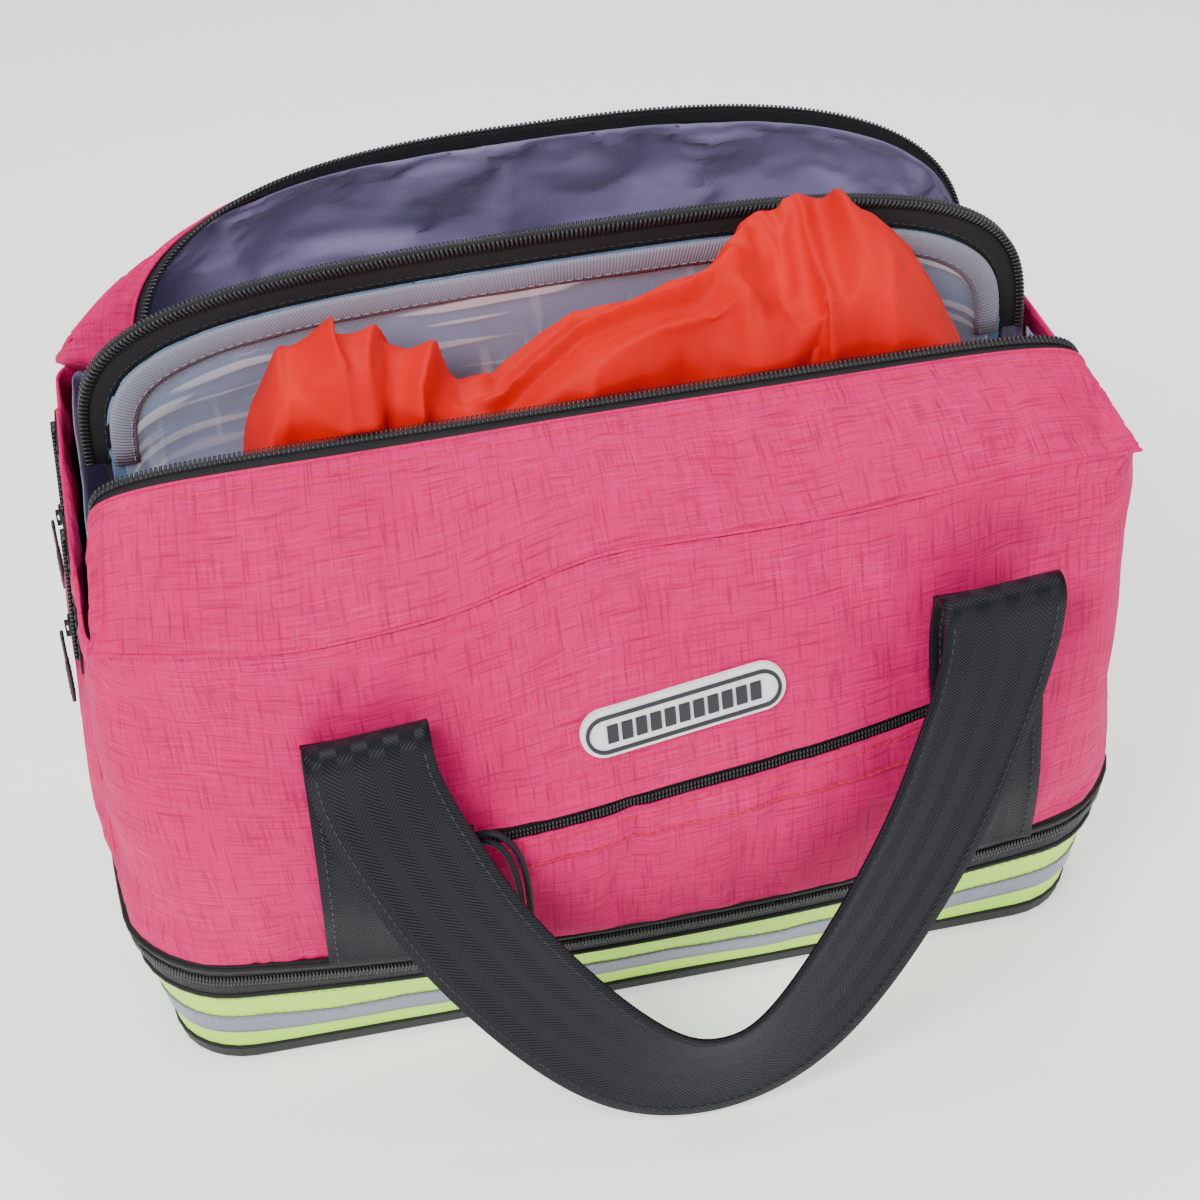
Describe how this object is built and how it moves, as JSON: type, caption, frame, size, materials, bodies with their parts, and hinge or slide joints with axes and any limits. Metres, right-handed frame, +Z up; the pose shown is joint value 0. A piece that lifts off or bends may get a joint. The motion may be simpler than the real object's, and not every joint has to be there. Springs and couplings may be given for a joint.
{
  "type": "fire blanket duffel bag",
  "caption": "Open emergency duffel bag with webbing handles, a zip-round boot compartment with high-visibility tape, a front pocket and a stowed orange-red blanket.",
  "frame": {"origin": "centre of the flat base, on the surface that the bag stands on", "axes": "+X along the bag to the right as seen from the front, +Y from the front pocket side to the back, +Z up"},
  "size_m": [0.4558, 0.386, 0.3462],
  "materials": {
    "pink_polyester": "melange woven polyester with a coated back",
    "black_webbing": "herringbone polyester webbing",
    "black_cloth": "coated woven polyester",
    "zip_tape": "woven zip tape",
    "zip_coil": "moulded coil teeth",
    "hi_vis": "fluorescent yellow-green tape",
    "reflective": "retroreflective silver-grey tape",
    "blue_grey_lining": "coated twill lining",
    "lavender_lining": "coated twill lining",
    "grey_binding": "grosgrain binding",
    "clear_vinyl": "clear flexible vinyl",
    "orange_red_cloth": "smooth coated glass-fibre cloth",
    "badge_white": "moulded soft rubber",
    "badge_dark": "moulded soft rubber",
    "stiff_board": "stiff sheet",
    "slider_metal": "black lacquered zinc",
    "cord": "braided cord",
    "pull_plastic": "moulded plastic"
  },
  "bodies": {
    "boot_tray": {"base_panel": "black_cloth", "base_board": "stiff_board", "tray_wall": "black_cloth", "base_binding": "black_cloth", "hi_vis_tape": "hi_vis", "reflective_stripe": "reflective", "base_zip_tape_lower": "zip_tape", "base_zip_chain_lower": "zip_coil", "hinge_strip": "black_cloth"},
    "upper_bag": {"bag_floor": "blue_grey_lining", "front_panel": "pink_polyester", "rear_panel": "pink_polyester", "left_end_panel": "pink_polyester", "right_end_panel": "pink_polyester", "base_zip_tape_upper": "zip_tape", "base_zip_chain_upper": "zip_coil", "pocket_panel": "pink_polyester", "pocket_zip_tape": "zip_tape", "pocket_zip_chain": "zip_coil", "pocket_lip": "pink_polyester", "badge_plate": "badge_white", "badge_border": "badge_dark", "front_strap_left": "black_webbing", "front_strap_right": "black_webbing", "rear_strap_left": "black_webbing", "rear_strap_right": "black_webbing", "main_lining": "blue_grey_lining", "rear_lining": "lavender_lining", "divider_front_lining": "blue_grey_lining", "divider_core": "stiff_board", "divider_rear_lining": "lavender_lining", "divider_zip_tape_front": "zip_tape", "divider_zip_chain_front": "zip_coil", "divider_zip_tape_rear": "zip_tape", "divider_zip_chain_rear": "zip_coil", "clear_pocket_binding": "grey_binding", "clear_pocket_sheet": "clear_vinyl", "main_zip_tail": "zip_tape", "rear_zip_tail": "zip_tape"},
    "front_flap": {"front_flap_panel": "pink_polyester", "front_flap_lining": "blue_grey_lining", "front_zip_tape": "zip_tape", "front_zip_chain": "zip_coil"},
    "rear_flap": {"rear_flap_panel": "pink_polyester", "rear_flap_lining": "lavender_lining", "rear_zip_tape": "zip_tape", "rear_zip_chain": "zip_coil"},
    "front_handle": {"front_handle": "black_webbing"},
    "rear_handle": {"rear_handle": "black_webbing"},
    "main_slider": {"main_slider": "slider_metal"},
    "main_pull": {"main_pull": "pull_plastic"},
    "rear_slider": {"rear_slider": "slider_metal"},
    "rear_pull": {"rear_pull": "pull_plastic"},
    "base_slider": {"base_slider": "slider_metal"},
    "base_pull": {"base_pull": "pull_plastic"},
    "pocket_slider": {"pocket_slider": "slider_metal"},
    "pocket_pull": {"pocket_pull_cord": "cord", "pocket_pull_end": "pull_plastic"},
    "fire_blanket": {"fire_blanket": "orange_red_cloth"}
  },
  "joints": [
    {"name": "base_open", "type": "hinge", "parent": "boot_tray", "child": "upper_bag", "pos_m": [0, 0.1322, 0.0722], "axis": [-1, 0, 0], "range_deg": [0, 40]},
    {"name": "front_flap_hinge", "type": "hinge", "parent": "upper_bag", "child": "front_flap", "pos_m": [0, -0.1124, 0.2462], "axis": [1, 0, 0], "range_deg": [0, 75]},
    {"name": "rear_flap_hinge", "type": "hinge", "parent": "upper_bag", "child": "rear_flap", "pos_m": [0, 0.1124, 0.2462], "axis": [-1, 0, 0], "range_deg": [0, 40]},
    {"name": "front_handle_swing", "type": "hinge", "parent": "upper_bag", "child": "front_handle", "pos_m": [0.0145, -0.141, 0.2035], "axis": [-0.9967, 0, -0.0814], "range_deg": [0, 150]},
    {"name": "rear_handle_swing", "type": "hinge", "parent": "upper_bag", "child": "rear_handle", "pos_m": [0.0145, 0.141, 0.2035], "axis": [0.9967, 0, 0.0814], "range_deg": [0, 150]},
    {"name": "main_zip_slide", "type": "slide", "parent": "upper_bag", "child": "main_slider", "axis": [0, 0, 1], "range_m": [0, 0.035]},
    {"name": "main_pull_swing", "type": "hinge", "parent": "main_slider", "child": "main_pull", "pos_m": [-0.22587, -0.034, 0.198], "axis": [0, 1, 0], "range_deg": [0, 80]},
    {"name": "rear_zip_slide", "type": "slide", "parent": "upper_bag", "child": "rear_slider", "axis": [0, 0, 1], "range_m": [0, 0.035]},
    {"name": "rear_pull_swing", "type": "hinge", "parent": "rear_slider", "child": "rear_pull", "pos_m": [-0.2254, 0.052, 0.198], "axis": [0, 1, 0], "range_deg": [0, 80]},
    {"name": "base_zip_slide", "type": "slide", "parent": "boot_tray", "child": "base_slider", "axis": [0, -1, 0], "range_m": [0, 0.12]},
    {"name": "base_pull_swing", "type": "hinge", "parent": "base_slider", "child": "base_pull", "pos_m": [0.22809, 0.061, 0.062], "axis": [0, -1, 0], "range_deg": [0, 80]},
    {"name": "pocket_zip_slide", "type": "slide", "parent": "upper_bag", "child": "pocket_slider", "axis": [0.9939, -0.0227, 0.1083], "range_m": [0, 0.1]},
    {"name": "pocket_pull_swing", "type": "hinge", "parent": "pocket_slider", "child": "pocket_pull", "pos_m": [-0.079, -0.14779, 0.1439], "axis": [-1, 0, 0], "range_deg": [0, 10]},
    {"name": "blanket_lift", "type": "slide", "parent": "upper_bag", "child": "fire_blanket", "axis": [0, 0, 1], "range_m": [0, 0.28]}
  ]
}
